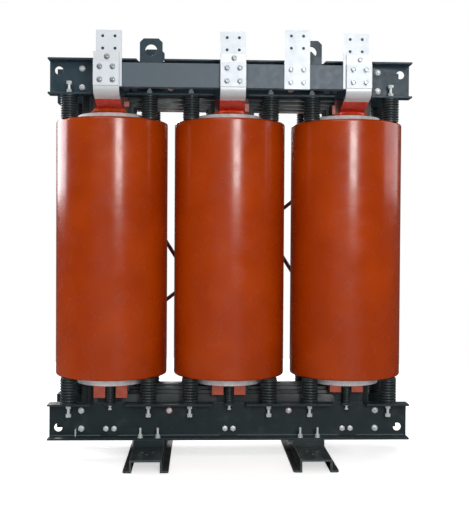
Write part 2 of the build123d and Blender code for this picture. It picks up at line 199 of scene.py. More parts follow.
# %% Painted steel
def make_paint(name, colour, roughness, worn=None, edge=0.45, edge_mm=3.5):
    """Sprayed enamel on steel: fine orange peel, a little dust and a painted highlight on the
    edges.

    worn is the colour of scuffs, and edge is how strongly the painted highlight lightens the last
    edge_mm of a face.
    """
    material, tree, surface = new_material(name, colour, roughness)
    dust = ramp(tree, spots(tree, 45, 4), 0.5, 0.8, 0.0, 0.07)
    tint = mixed(tree, dust, colour, "#78858c")
    if worn:
        scuffs = ramp(tree, spots(tree, 16, 6, (1, 1.6, 1)), 0.52, 0.66, 0.0, 0.8)
        # Only the upright walls and the feet get knocked by forks and rollers
        normal = add_node(tree, "ShaderNodeNewGeometry").outputs["Normal"]
        wall = calculated(tree, "ABSOLUTE", component(tree, normal, "X"))
        foot = ramp(tree, component(tree, object_place(tree), "Z"), 20 * MM, 30 * MM, 0.8, 0.0)
        exposed = calculated(tree, "MAXIMUM", wall, foot)
        tint = mixed(tree, calculated(tree, "MULTIPLY", scuffs, exposed), tint, worn)
    # Painted highlight: the last edge_mm of each face is lightened towards pale grey, where edges
    # would catch the light
    bevel = add_node(tree, "ShaderNodeBevel", {"Radius": edge_mm * MM}, samples=6)
    flat = add_node(tree, "ShaderNodeNewGeometry").outputs["True Normal"]
    normals = {0: bevel.outputs["Normal"], 1: flat}
    likeness = add_node(tree, "ShaderNodeVectorMath", normals, operation="DOT_PRODUCT")
    edge_highlight = ramp(tree, likeness.outputs["Value"], 0.8, 0.99, edge, 0.0)
    tint = mixed(tree, edge_highlight, tint, "#8b999c")
    connect(
        tree,
        surface,
        Base_Color=tint,
        Roughness=ramp(tree, spots(tree, 30, 5), 0.3, 0.7, roughness - 0.06, roughness + 0.08),
        Normal=bumped(tree, spots(tree, 2.5, 2), 0.04),
    )
    surface.inputs["Specular IOR Level"].default_value = 0.35
    return material


# %% Core sheet steel
def make_core_steel():
    """The edges of thin sheets under dark varnish; bands of sheets differ a little in tone."""
    material, tree, surface = new_material("varnished core steel", "#23292b", 0.42)
    # Sheets lie in planes of constant Y: packs of them show as bands a few millimetres thick
    bands = ramp(tree, spots(tree, 2.2, 1, (400, 1, 400)), 0.3, 0.7)
    broad = ramp(tree, spots(tree, 9, 1, (200, 1, 200)), 0.35, 0.65)
    tone = calculated(tree, "MULTIPLY", bands, broad)
    # Faces that look down are lightened to near white: a painted highlight for the lit undersides
    # of the yoke's steps
    normal = add_node(tree, "ShaderNodeNewGeometry").outputs["Normal"]
    pale = calculated(tree, "MULTIPLY", component(tree, normal, "Z"), -1.0)
    varnished = mixed(tree, tone, "#1c2325", "#485152")
    underside_highlight = mixed(tree, tone, "#d3d8d8", "#f2f4f4")
    connect(
        tree,
        surface,
        Base_Color=mixed(tree, ramp(tree, pale, 0.7, 0.95), varnished, underside_highlight),
        Roughness=ramp(tree, spots(tree, 40, 3), 0.3, 0.7, 0.34, 0.55),
        Normal=bumped(tree, bands, 0.25),
    )
    return material


# %% Bare aluminium
def make_aluminium(name, colour, roughness):
    """Rolled aluminium bar: fine drawing lines along Z and soft handling marks.

    Its thin white oxide scatters light, so it is matched at a metallic below 1.
    """
    material, tree, surface = new_material(name, colour, roughness, 0.35)
    lines = spots(tree, 0.7, 2, (1, 1, 60))
    smears = ramp(tree, spots(tree, 35, 4), 0.3, 0.75, roughness - 0.03, roughness + 0.06)
    connect(tree, surface, Roughness=smears, Normal=bumped(tree, lines, 0.015))
    return material


# %% Lead bar, painted below its big bend
def make_lead_finish(masked_z):
    """Aluminium bar with red insulating paint up to a hand-masked line at a height."""
    material, tree, surface = new_material(red_bar, "#b81d08", 0.3)
    waver = ramp(tree, spots(tree, 14, 3), 0.2, 0.8, -0.8 * MM, 0.8 * MM)
    level = calculated(tree, "ADD", component(tree, object_place(tree), "Z"), waver)
    pale = ramp(tree, level, masked_z - 0.4 * MM, masked_z + 0.4 * MM)
    runs = ramp(tree, spots(tree, 22, 3), 0.35, 0.7)
    red = mixed(tree, runs, "#cc2203", "#e6380a")
    connect(
        tree,
        surface,
        Base_Color=mixed(tree, pale, red, "#dfe2e4"),
        Metallic=ramp(tree, pale, 0, 1, 0, 0.4),
        Roughness=ramp(tree, pale, 0, 1, 0.35, 0.42),
        Normal=bumped(tree, spots(tree, 9, 3), 0.12),
    )
    surface.inputs["Specular IOR Level"].default_value = 0.35
    return material


# %% Moulded, wrapped and plated surfaces
def make_plain(name, colour, second, roughness, grain_mm, depth_mm, metallic=0.0, patch_mm=30):
    """A surface of two close tones with a fine grain."""
    material, tree, surface = new_material(name, colour, roughness, metallic)
    patches = ramp(tree, spots(tree, patch_mm, 4), 0.35, 0.65)
    smears = spots(tree, patch_mm * 0.6, 4)
    connect(
        tree,
        surface,
        Base_Color=mixed(tree, patches, colour, second),
        Roughness=ramp(tree, smears, 0.3, 0.7, roughness - 0.05, roughness + 0.07),
        Normal=bumped(tree, spots(tree, grain_mm, 3), depth_mm),
    )
    return material


def make_metal(name, colour, second, roughness, metallic):
    """Plated or turned metal: small patches of two tones under a very fine grain."""
    return make_plain(name, colour, second, roughness, 0.8, 0.01, metallic, patch_mm=8)


# %% The finishes of this object
cast_resin = make_cast_resin()
# The clamps take two tones of one enamel by height: the upper ones lighter and bluer than the lower
# ones
clamp_paint = make_paint("dark grey clamp enamel", "#212d30", 0.36)
upper_paint = make_paint("blue grey clamp enamel", "#2c3f49", 0.36)
# The weld beads get a lighter enamel than the clamps: a painted highlight along the clamps' inside
# corners
weld_highlight_paint = make_paint("weld bead enamel with painted highlight", "#5c6a6d", 0.3)
skid_paint = make_paint(
    "dark grey skid enamel", "#222b2c", 0.34, worn="#6a5640", edge=0.85, edge_mm=6
)
beam_paint = make_paint("mid grey beam enamel", "#55616a", 0.42)
core_steel = make_core_steel()
aluminium = make_aluminium("bare aluminium bar", "#dde3e9", 0.5)
zinc = make_metal("zinc plated steel", "#e8edef", "#d2d8da", 0.38, 0.35)
bolt_steel = make_metal("stainless steel bolts", "#b2b9bd", "#9aa2a6", 0.33, 0.8)
brass = make_metal("turned brass", "#b98b3f", "#a87c35", 0.3, 1.0)
moulded_black = make_plain("black moulded resin", "#252c2e", "#2f3739", 0.36, 1.2, 0.02)
winding_wrap = make_plain("glass fibre and resin wrap", "#e2dfe2", "#d2ced1", 0.5, 1.6, 0.05)
foil_edges = make_plain("foil and insulation edges", "#a9a29a", "#8d8680", 0.5, 0.6, 0.08)
board_red = make_plain("red-brown laminated board", "#5a2723", "#4a1f1c", 0.5, 1.5, 0.03)
salmon = make_plain("salmon red moulding", "#b2503b", "#a5452f", 0.5, 1.5, 0.05)
pink_block = make_plain("pink packing block", "#c4776f", "#b4645c", 0.5, 1.5, 0.05)
red_ring = make_plain("red fibre washer", "#8f2a24", "#7d221d", 0.45, 1.2, 0.03)
cuff_resin = make_plain("orange sealing resin", "#c4551c", "#b04218", 0.34, 4, 0.2)
sleeve = make_plain("red-brown link sleeve", "#55271c", "#451d15", 0.25, 1.5, 0.02)
red_bar = "red painted aluminium bar"
# The slot that each finish belongs to
SLOTS = {
    "cast_resin": (cast_resin, cuff_resin),
    "clamp_paint": (clamp_paint, upper_paint, weld_highlight_paint),
    "skid_paint": (skid_paint,),
    "beam_paint": (beam_paint,),
    "core_steel": (core_steel,),
    "terminal_metal": (aluminium, zinc, bolt_steel, brass),
    "support_moulding": (moulded_black,),
    "winding_wrap": (winding_wrap, foil_edges),
    "board": (board_red,),
    "red_moulding": (salmon, pink_block, red_ring),
    "link_sleeve": (sleeve,),
}
slot_of = {finish.name: slot for slot, finishes in SLOTS.items() for finish in finishes}
slot_of[red_bar] = "lead_paint"
print("materials:", len(bpy.data.materials))

# %% [markdown]
# ## Shapes
#
# A `Shape` gathers turned, flat and boxed forms, and then becomes one named piece that rides on
# the model's body.
# %% Shape builder
SHARP_ANGLE = 35


class Shape:
    """Vertices and faces of one piece, added form by form."""

    def __init__(self):
        self.vertices = []
        self.faces = []
        self.slots = []

    def add(self, vertices, faces, place, slot=0):
        """Add faces over vertices that place moves from their own frame."""
        first = len(self.vertices)
        self.vertices += [place @ Vector(v) for v in vertices]
        self.faces += [[first + i for i in face] for face in faces]
        self.slots += [slot] * len(faces)

    def turned(self, profile, place, sides, slot=0):
        """Turn (radius, height) points about the frame's Z; a zero radius closes an end."""
        vertices, rows, faces = [], [], []
        for radius, height in profile:
            if radius == 0:
                rows.append([len(vertices)] * sides)
                vertices.append((0, 0, height))
                continue
            rows.append(list(range(len(vertices), len(vertices) + sides)))
            for step in range(sides):
                angle = 2 * math.pi * (step + 0.5) / sides
                vertices.append((radius * math.cos(angle), radius * math.sin(angle), height))
        for below, above in zip(rows, rows[1:]):
            for i in range(sides):
                j = (i + 1) % sides
                corners = [below[i], below[j], above[j], above[i]]
                faces.append(list(dict.fromkeys(corners)))
        self.add(vertices, faces, place, slot)

    def box(self, low, high):
        """Add a box between two corners."""
        xs, ys, zs = zip(low, high)
        corners = [(x, y, z) for z in zs for y in ys for x in xs]
        faces = [[0, 2, 3, 1], [4, 5, 7, 6], [0, 1, 5, 4], [2, 6, 7, 3], [0, 4, 6, 2], [1, 3, 7, 5]]
        self.add(corners, faces, Matrix.Identity(4))

    def piece(self, name, *materials, bevel_mm=0, sharp=SHARP_ANGLE):
        """Make the piece, smooth it up to the sharp angle, and let it ride on the model."""
        mesh = bpy.data.meshes.new(name)
        mesh.from_pydata(self.vertices, [], self.faces)
        for material in materials:
            mesh.materials.append(material)
        mesh.polygons.foreach_set("material_index", self.slots)
        return finish_mesh(mesh, name, bevel_mm, sharp)


def finish_mesh(mesh, name, bevel_mm, sharp=SHARP_ANGLE):
    """Turn a mesh into a shaded piece with rounded edges."""
    mesh.shade_smooth()
    mesh.set_sharp_from_angle(angle=math.radians(sharp))
    made = bpy.data.objects.new(name, mesh)
    bpy.context.collection.objects.link(made)
    if bevel_mm:
        rounding = made.modifiers.new("rounded edges", "BEVEL")
        rounding.width = bevel_mm * MM
        rounding.segments = 2
        rounding.limit_method = "ANGLE"
        rounding.angle_limit = math.radians(SHARP_ANGLE)
        rounding.harden_normals = True
    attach(made, "root")
    return made


def upright(x, y, z):
    """A frame at a point with its Z up."""
    return Matrix.Translation((x, y, z))


def hanging(x, y, z):
    """A frame at a point with its Z down."""
    return Matrix.Translation((x, y, z)) @ Matrix.Rotation(math.pi, 4, "X")


def facing(x, y, z, side):
    """A frame at a point with its Z towards the front (side -1) or the back (side 1)."""
    return Matrix.Translation((x, y, z)) @ Matrix.Rotation(-side * math.pi / 2, 4, "X")


# %% CAD plates with rounded edges
def rounded_plate(node, material, bevel_mm):
    """Stand a copy with rounded edges in for a CAD plate."""
    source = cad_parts[node]
    mesh = source.data.copy()
    shape = bmesh.new()
    shape.from_mesh(mesh)
    bmesh.ops.remove_doubles(shape, verts=shape.verts, dist=0.005 * MM)
    flat = math.radians(1)
    bmesh.ops.dissolve_limit(shape, angle_limit=flat, verts=shape.verts, edges=shape.edges)
    shape.to_mesh(mesh)
    shape.free()
    mesh.materials.clear()
    mesh.materials.append(material)
    made = finish_mesh(mesh, f"{node}_rounded", bevel_mm)
    made.matrix_world = source.matrix_world.copy()
    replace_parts(made, node)


clamps = ["lower_clamp_front", "lower_clamp_back", "upper_clamp_front", "upper_clamp_back"]
lugs = [f"lifting_lug_{end}_{hand}" for end in ("front", "back") for hand in ("left", "right")]
for node in clamps + lugs:
    rounded_plate(node, clamp_paint if node.startswith("lower") else upper_paint, 2.0)
for node in ("base_skid_left", "base_skid_right"):
    rounded_plate(node, skid_paint, 2.5)
rounded_plate("base_spacers", clamp_paint, 1.0)
for node in ("terminal_beam", "beam_bracket_left", "beam_bracket_right"):
    rounded_plate(node, beam_paint, 1.5)
for core_part in ("limb_left", "limb_middle", "limb_right", "yoke_lower", "yoke_upper"):
    rounded_plate(f"core_{core_part}", core_steel, 0.6)
rounded_plate("pull_plates", clamp_paint, 0.8)
for node in ("yoke_boards_lower", "yoke_boards_upper"):
    rounded_plate(node, board_red, 0.5)
rounded_plate("lead_boards", board_red, 0.5)
rounded_plate("lead_end_blocks", salmon, 1.2)
paint_height = 47 * MM
lead_finish = make_lead_finish(lead_box["b"][0][2] + paint_height)
for phase in PHASES:
    rounded_plate(f"lv_lead_{phase}", lead_finish, 1.5)
    rounded_plate(f"lv_front_plate_{phase}", aluminium, 1.0)
    rounded_plate(f"lv_terminal_{phase}", aluminium, 1.0)
rounded_plate("neutral_terminal", aluminium, 1.0)

# %% [markdown]
# ## Coils and windings
#
# A coil is one casting: a tube with soft edges, two terminal bosses and a raised tap pad at the
# back. The low-voltage winding shows as a pale ring past both ends.
# %% Cast coils
def ring_profile(inner, outer, low, high, edge):
    """The closed outline of a tube's wall with rounded edges, outer wall first."""
    turns = [math.radians(a) for a in (0, 22.5, 45, 67.5, 90)]
    corners = [
        (outer - edge, high - edge, 1, 1, False),
        (inner + edge / 2, high - edge / 2, -0.5, 0.5, True),
        (inner + edge / 2, low + edge / 2, -0.5, -0.5, False),
        (outer - edge, low + edge, 1, -1, True),
    ]
    profile = []
    for radius, height, across, along, backwards in corners:
        steps = reversed(turns) if backwards else turns
        for turn in steps:
            reach, rise = edge * across * math.cos(turn), edge * along * math.sin(turn)
            profile.append((radius + reach, height + rise))
    return profile + profile[:1]


coil_bore, coil_edge = 222 * MM, 10 * MM
# How deep a boss and the tap pad are rooted in the tube's round wall
boss_root, pad_root = 12 * MM, 22 * MM
boss_root_radius = 36 * MM
# The boss's rounded tip: a radius, and how far it lies below the face
boss_tip = [(28.6 * MM, 4 * MM), (26 * MM, 1 * MM), (23 * MM, 0), (0, 0)]
boss_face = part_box("delta_link_left")[0][1]
link_radius = 11 * MM
hv_low_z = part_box("delta_link_left")[0][2] + link_radius
hv_high_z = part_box("delta_link_left")[1][2] - link_radius
tap_z = (hv_low_z + hv_high_z) / 2
tap_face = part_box("tap_links")[0][1]
tap_half_width, tap_half_height = 95 * MM, 165 * MM

coil_wall = ring_profile(coil_bore, coil_radius, coil_bottom, coil_top, coil_edge)
boss_length = boss_face - coil_radius + boss_root
boss = [(boss_root_radius, 0)] + [(radius, boss_length - drop) for radius, drop in boss_tip]
for phase in PHASES:
    x = limb_x[phase]
    coil = Shape()
    coil.turned(coil_wall, upright(x, 0, 0), sides=256)
    for z in (hv_low_z, hv_high_z):
        coil.turned(boss, facing(x, boss_face - boss_length, z, 1), sides=64)
    coil.box(
        (x - tap_half_width, coil_radius - pad_root, tap_z - tap_half_height),
        (x + tap_half_width, tap_face, tap_z + tap_half_height),
    )
    casting = coil.piece(f"high_voltage_coil_{phase}", cast_resin, bevel_mm=4)
    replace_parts(casting, f"hv_coil_{phase}")
print("coils:", len(PHASES))


# %% Low-voltage windings
winding_bore = 128 * MM
# Layers show in the ends between the inner and the outer wrap
layers_inner, layers_outer = 133 * MM, 165 * MM
wrap_edge = 1.5 * MM


def layered_end(end_z, away):
    """Rings of foil and insulation in a winding's end, a little below its rim."""
    layers = 9
    thickness = (layers_outer - layers_inner) / layers
    outline = []
    for layer in range(layers):
        level = end_z - away * (1.2 if layer % 2 else 2.4) * MM
        outer_edge = layers_outer - layer * thickness
        outline += [(outer_edge, level), (outer_edge - thickness, level)]
    return outline if away > 0 else list(reversed(outline))


outer_wrap = ring_profile(layers_outer, winding_radius, winding_bottom, winding_top, wrap_edge)
inner_wrap = ring_profile(winding_bore, layers_inner, winding_bottom, winding_top, wrap_edge)
for phase in PHASES:
    winding = Shape()
    place = upright(limb_x[phase], 0, 0)
    winding.turned(outer_wrap, place, sides=192)
    winding.turned(inner_wrap, place, sides=128)
    winding.turned(layered_end(winding_top, 1), place, sides=128, slot=1)
    winding.turned(layered_end(winding_bottom, -1), place, sides=128, slot=1)
    tube = winding.piece(f"low_voltage_winding_{phase}", winding_wrap, foil_edges)
    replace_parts(tube, f"lv_winding_{phase}")
print("windings:", len(PHASES))

# %% [markdown]
# ## Supports
#
# Black ribbed mouldings hold each coil between the clamps. Slim ones hold the windings.
# %% Ribbed supports
def ribbed_profile(height, core, rib, ribs, foot, cap):
    """A support's outline from its foot to its cap, with rounded ribs between."""
    pitch = (height - foot - cap) / ribs
    soft = 1 * MM
    outline = [(0, 0), (rib - soft, 0), (rib, soft), (rib, foot - soft), (rib - soft, foot)]
    # Each rib is a rounded disc: a share of the pitch up, and how far its edge is drawn in
    disc = [(0.22, 0.45), (0.30, 0.16), (0.44, 0.03), (0.60, 0.0)]
    disc += [(0.76, 0.03), (0.90, 0.16), (0.97, 0.45)]
    for k in range(ribs):
        low = foot + k * pitch
        outline += [(core, low + 0.03 * pitch), (core, low + 0.17 * pitch)]
        outline += [(rib - inset * (rib - core), low + share * pitch) for share, inset in disc]
    cap_radius = rib - 2 * MM
    outline += [(core, height - cap), (cap_radius - soft, height - cap)]
    outline += [(cap_radius, height - cap + soft), (cap_radius, height - soft)]
    return outline + [(cap_radius - soft, height), (0, height)]


post_core, post_rib, post_ribs = 31 * MM, 40.5 * MM, 8
post_foot, post_cap = 8 * MM, 9 * MM
# The solids have twelve sides, 38 mm from centre to corner
solid_reach = 38 * MM * math.cos(math.pi / 12)
post_half_spacing = round(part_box("lower_coil_supports")[1][0] - limb_x["c"] - solid_reach, 3)
post_depth = 155 * MM
post_places = [
    (x + side * post_half_spacing, depth * post_depth)
    for x in limb_x.values()
    for side in (-1, 1)
    for depth in (-1, 1)
]
for name, node, flange_z, end_z in (
    ("lower_ribbed_supports", "lower_coil_supports", lower_clamp_top, coil_bottom),
    ("upper_ribbed_supports", "upper_coil_supports", upper_clamp_z, coil_top),
):
    posts = Shape()
    height = abs(end_z - flange_z)
    outline = ribbed_profile(height, post_core, post_rib, post_ribs, post_foot, post_cap)
    for x, y in post_places:
        place = upright(x, y, flange_z) if end_z > flange_z else hanging(x, y, flange_z)
        posts.turned(outline, place, sides=48)
    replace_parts(posts.piece(name, moulded_black), node)

pads = Shape()
pad_core, pad_rib, pad_end = 15 * MM, 19.5 * MM, 6 * MM
pad_depth = 150 * MM
low_height, high_height = winding_bottom - lower_clamp_top, upper_clamp_z - winding_top
low_pad = ribbed_profile(low_height, pad_core, pad_rib, 6, pad_end, pad_end)
high_pad = ribbed_profile(high_height, pad_core, pad_rib, 5, pad_end, pad_end)
# The outer phases' pads stand a little nearer the middle than their limbs
pad_x = [limb_x["a"] + 7 * MM, limb_x["b"], limb_x["c"] - 11 * MM]
for x in pad_x:
    for side in (-1, 1):
        pads.turned(low_pad, upright(x, side * pad_depth, lower_clamp_top), sides=32)
    pads.turned(high_pad, upright(x, pad_depth, winding_top), sides=32)
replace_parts(pads.piece("ribbed_winding_pads", moulded_black), "winding_pads")
print("supports:", 2 * len(post_places), " pads:", 3 * len(pad_x))

# %% [markdown]
# ## Fasteners
#
# Nuts, washers and studs are drawn by small functions, in a frame whose Z points out of the
# plate. Each starts at a height above the plate.
# %% Fastener forms
def nut(shape, place, across, height, start=0.0):
    """A chamfered hexagon nut; across is its width over flats."""
    corner = across / 2 / math.cos(math.pi / 6)
    low, high = start, start + height
    soft = corner * 0.1
    outline = [(0, low), (corner - soft, low), (corner, low + soft / 2), (corner, high - soft / 2)]
    outline += [(corner - soft, high), (0, high)]
    shape.turned(outline, place, sides=6)


def washer(shape, place, radius, thickness, start=0.0, slot=0):
    """A flat washer with a soft rim."""
    low, high, soft = start, start + thickness, thickness * 0.25
    outline = [(0, low), (radius - soft, low), (radius, low + soft), (radius, high - soft)]
    outline += [(radius - soft, high), (0, high)]
    shape.turned(outline, place, sides=32, slot=slot)


def stud(shape, place, radius, end, start=0.0, slot=0):
    """A plain stud from its start to its chamfered end."""
    outline = [(0, start), (radius, start), (radius, end - radius * 0.3)]
    outline += [(radius * 0.75, end), (0, end)]
    shape.turned(outline, place, sides=20, slot=slot)


def clamped(shape, place, across, washer_radius):
    """A washer, a nut and the tip of its stud."""
    thickness, nut_height, tip = 3 * MM, across * 0.5, 5 * MM
    washer(shape, place, washer_radius, thickness)
    nut(shape, place, across, nut_height, thickness)
    stud(shape, place, across * 0.3, thickness + nut_height + tip)


# %% Jack bolts under and over the coil supports
lower_flange_z = lower_clamp_top - clamp_plate
upper_flange_z = upper_clamp_z + clamp_plate
jacks = Shape()
for x, y in post_places:
    for place in (hanging(x, y, lower_flange_z), upright(x, y, upper_flange_z)):
        # Two nuts at the flange, then a washer and a nut at the far end
        nut(jacks, place, across=24 * MM, height=9 * MM)
        nut(jacks, place, across=23 * MM, height=8 * MM, start=9.4 * MM)
        stud(jacks, place, radius=7 * MM, end=44 * MM)
        washer(jacks, place, radius=14 * MM, thickness=4 * MM, start=42 * MM)
        nut(jacks, place, across=24 * MM, height=12 * MM, start=46 * MM)
jacks.piece("jack_bolts", zinc)

pad_bolts = Shape()
for x in pad_x:
    places = [hanging(x, side * pad_depth, lower_flange_z) for side in (-1, 1)]
    places.append(upright(x, pad_depth, upper_flange_z))
    for place in places:
        nut(pad_bolts, place, across=16 * MM, height=7 * MM)
        stud(pad_bolts, place, radius=5 * MM, end=18 * MM)
        nut(pad_bolts, place, across=16 * MM, height=7 * MM, start=16 * MM)
pad_bolts.piece("pad_bolts", zinc)
print("jack bolts:", 2 * len(post_places), " pad bolts:", 3 * len(pad_x))

# %% Clamping bolts, tie rods and insulated yoke bolts
low_row, high_row = lower_clamp_z + 44 * MM, upper_clamp_top - 40 * MM
low_inner_row, high_inner_row = lower_clamp_z + 133 * MM, upper_clamp_top - 132 * MM
plate_bolts = Shape()
plate_bolt_half = 20 * MM
for x in (limb_x["a"] + 5 * MM, limb_x["b"], limb_x["c"] - 8 * MM):
    for z in (low_row, high_row):
        for shift in (-plate_bolt_half, plate_bolt_half):
            for side in (-1, 1):
                place = facing(x + shift, side * web_outer, z, side)
                nut(plate_bolts, place, across=24 * MM, height=12 * MM)
plate_bolts.piece("pull_plate_bolts", zinc)

tie_x = 726 * MM
tie_rods = Shape()
for x in (-tie_x, tie_x):
    for z in (low_row, low_inner_row, high_inner_row, high_row):
        stud(tie_rods, facing(x, 0, z, 1), radius=8 * MM, end=web_inner, start=-web_inner)
        for side in (-1, 1):
            place = facing(x, side * web_outer, z, side)
            clamped(tie_rods, place, across=24 * MM, washer_radius=15 * MM)
tie_rods.piece("end_tie_rods", zinc)

yoke_bolts = Shape()
for x in ((limb_x["a"] + limb_x["b"]) / 2, (limb_x["b"] + limb_x["c"]) / 2):
    for z in (low_inner_row, high_inner_row):
        for side in (-1, 1):
            place = facing(x, side * web_outer, z, side)
            washer(yoke_bolts, place, radius=18 * MM, thickness=4 * MM, slot=1)
            washer(yoke_bolts, place, radius=14 * MM, thickness=2 * MM, start=4 * MM)
            nut(yoke_bolts, place, across=23 * MM, height=11 * MM, start=6 * MM)
            stud(yoke_bolts, place, radius=7 * MM, end=22 * MM)
yoke_bolts.piece("insulated_yoke_bolts", zinc, red_ring)
print("bolt rows mm:", [round(z / MM) for z in (low_row, low_inner_row, high_inner_row, high_row)])

# %% Base bolts through clamp, spacer and skid
base_bolts = Shape()
base_bolt_half, base_bolt_depth = 42.5 * MM, 172 * MM
skid_plate = 8 * MM
skid_under_z = skid_boxes[0][1][2] - skid_plate
for skid_low, skid_high in skid_boxes:
    x = (skid_low[0] + skid_high[0]) / 2
    for shift in (-base_bolt_half, base_bolt_half):
        for side in (-1, 1):
            top = upright(x + shift, side * base_bolt_depth, lower_clamp_z + clamp_plate)
            washer(base_bolts, top, radius=14 * MM, thickness=4 * MM)
            washer(base_bolts, top, radius=8 * MM, thickness=3 * MM, start=4 * MM)
            nut(base_bolts, top, across=20 * MM, height=10 * MM, start=7 * MM)
            stud(base_bolts, top, radius=5.5 * MM, end=49 * MM)
            under = hanging(x + shift, side * base_bolt_depth, skid_under_z)
            nut(base_bolts, under, across=24 * MM, height=10 * MM)
base_bolts.piece("base_bolts", zinc)
print("base bolts:", 4 * len(skid_boxes))

# %% Terminal bolts
terminal_bolts = Shape()
bolt_half = 30 * MM
beam_plate = 8 * MM
beam_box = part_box("terminal_beam")
beam_middle = (beam_box[0][2] + beam_box[1][2]) / 2
beam_back = beam_box[0][1] + beam_plate
# The single bolt of each lead, right of its centre and above the beam
lead_bolt_shift, lead_bolt_rise = 3 * MM, 22 * MM


def terminal_bolt(x, face_y, z, nut_y):
    """A hexagon bolt on a plate's front with its nut on the far side."""
    front = facing(x, face_y, z, -1)
    washer(terminal_bolts, front, radius=13 * MM, thickness=2.5 * MM)
    nut(terminal_bolts, front, across=18.5 * MM, height=8 * MM, start=2.5 * MM)
    washer(terminal_bolts, front, radius=6.5 * MM, thickness=0.8 * MM, start=10.3 * MM)
    clamped(terminal_bolts, facing(x, nut_y, z, 1), across=18.5 * MM, washer_radius=12 * MM)


def four_terminal_bolts(x, face_y, z):
    """Bolts at the corners of a square that clamp a plate to the beam."""
    for shift in (-bolt_half, bolt_half):
        for rise in (-bolt_half, bolt_half):
            terminal_bolt(x + shift, face_y, z + rise, beam_back)


for phase in PHASES:
    low, high = front_plate_box[phase]
    centre_x = (low[0] + high[0]) / 2
    four_terminal_bolts(centre_x, low[1], (low[2] + high[2]) / 2)
    lead_front, terminal_back = lead_box[phase][0][1], terminal_box[phase][1][1]
    bolt_z = beam_box[1][2] + lead_bolt_rise
    terminal_bolt(centre_x + lead_bolt_shift, lead_front, bolt_z, terminal_back)
neutral_x = (neutral_box[0][0] + neutral_box[1][0]) / 2
four_terminal_bolts(neutral_x, neutral_box[0][1], beam_middle)
terminal_bolts.piece("terminal_bolts", bolt_steel)

# %% Black plugs in the terminals' free holes, which keep the holes dark
plugs = Shape()
hole_half, hole_drops = 28.5 * MM, (28 * MM, 85 * MM)
for low, high in [*terminal_box.values(), neutral_box]:
    for shift in (-hole_half, hole_half):
        for drop in hole_drops:
            place = facing((low[0] + high[0]) / 2 + shift, high[1], high[2] - drop, 1)
            washer(plugs, place, radius=9.5 * MM, thickness=2 * MM)
            stud(plugs, place, radius=6.8 * MM, end=1 * MM, start=-4 * MM)
plugs.piece("hole_plugs", moulded_black)
print("terminals with bolts and plugs:", len(terminal_box) + 1)

# %% [markdown]
# ## Low-voltage leads
#
# Each lead leaves its winding through a mound of cast resin. Small moulded blocks wedge the
# insulating boards behind the leads.
# %% Resin cuffs
cuff_half_width, cuff_back = 90 * MM, 137 * MM
# The mound starts a little inside the winding's end
cuff_sunk = 0.3 * MM
cuff_columns, cuff_rows = 48, 12
# Cast by hand, so each phase differs: its height, and how far it reaches past the winding
CUFFS = {"a": (24 * MM, 4 * MM), "b": (13 * MM, -1 * MM), "c": (15 * MM, 0)}


def cuff_surface(across, along, cuff_height):
    """Height of the mound: flat in the middle, rounded down to its sides and to the rim."""
    side = min(1.0, (1 - abs(across)) / 0.3)
    front = min(1.0, (1 - along) / 0.45 + 0.15)
    return cuff_height * math.sin(side * math.pi / 2) * math.sin(front * math.pi / 2)


def resin_cuff(cuff_height, overhang):
    """Vertices and faces of a mound: columns across it, each from its back to the rim."""
    vertices, faces, back_edge = [], [], []
    for i in range(cuff_columns + 1):
        across = 2 * i / cuff_columns - 1
        x = across * cuff_half_width
        back_edge.append((x, -cuff_back, -cuff_sunk))
        rim = math.sqrt((winding_radius + overhang) ** 2 - x * x)
        for j in range(cuff_rows + 1):
            along = j / cuff_rows
            y = -cuff_back - along * max(rim - cuff_back, 0.5 * MM)
            vertices.append((x, y, cuff_surface(across, along, cuff_height) - cuff_sunk))
    column = cuff_rows + 1
    first_back = len(vertices)
    for i in range(cuff_columns):
        for a in range(i * column, i * column + cuff_rows):
            faces.append([a, a + 1, a + column + 1, a + column])
    for i in range(cuff_columns):
        faces.append([i * column, (i + 1) * column, first_back + i + 1, first_back + i])
    return vertices + back_edge, faces


for phase, (cuff_height, overhang) in CUFFS.items():
    cuff = Shape()
    cuff.add(*resin_cuff(cuff_height, overhang), upright(limb_x[phase], 0, winding_top))
    made = cuff.piece(f"resin_cuff_{phase}", cuff_resin, sharp=60)
    # One CAD node holds all three collars, so one cuff stands in for it
    if phase == "b":
        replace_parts(made, "lead_collars")
print("cuffs:", len(CUFFS))

# %% Wedge blocks beside the boards
board_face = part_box("lead_boards")[0][1]
wedge_depth = 13 * MM
# Millimetres right of the limb, then millimetres above the winding, each from and to
WEDGES = {"a": ((68, 95), (31, 57)), "b": ((66, 89), (13, 53)), "c": ((-93, -76), (5, 50))}
wedges = Shape()
for phase, ((left, right), (low, high)) in WEDGES.items():
    x = limb_x[phase]
    wedges.box(
        (x + left * MM, board_face - wedge_depth, winding_top + low * MM),
        (x + right * MM, board_face, winding_top + high * MM),
    )
wedges.piece("wedge_blocks", pink_block, bevel_mm=2.5)
print("wedges:", len(WEDGES))

# %% Black boards on the outer side of the first limb, which keep that side dark
limb_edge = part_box("core_limb_left")[0][0]
board_outer_x, board_half_depth = -735 * MM, 40 * MM
# The boards stand behind the clamps and stop short of the winding
behind_clamp, winding_gap, limb_lap = 30 * MM, 2 * MM, 5 * MM
board_spans = [
    (lower_clamp_top - behind_clamp, winding_bottom - winding_gap),
    (winding_top + winding_gap, upper_clamp_z + behind_clamp),
]
edge_boards = Shape()
for low, high in board_spans:
    edge_boards.box(
        (board_outer_x, -board_half_depth, low),
        (limb_edge + limb_lap, board_half_depth, high),
    )
edge_boards.piece("limb_edge_boards", moulded_black, bevel_mm=1)
print("limb edge mm:", round(limb_edge / MM))

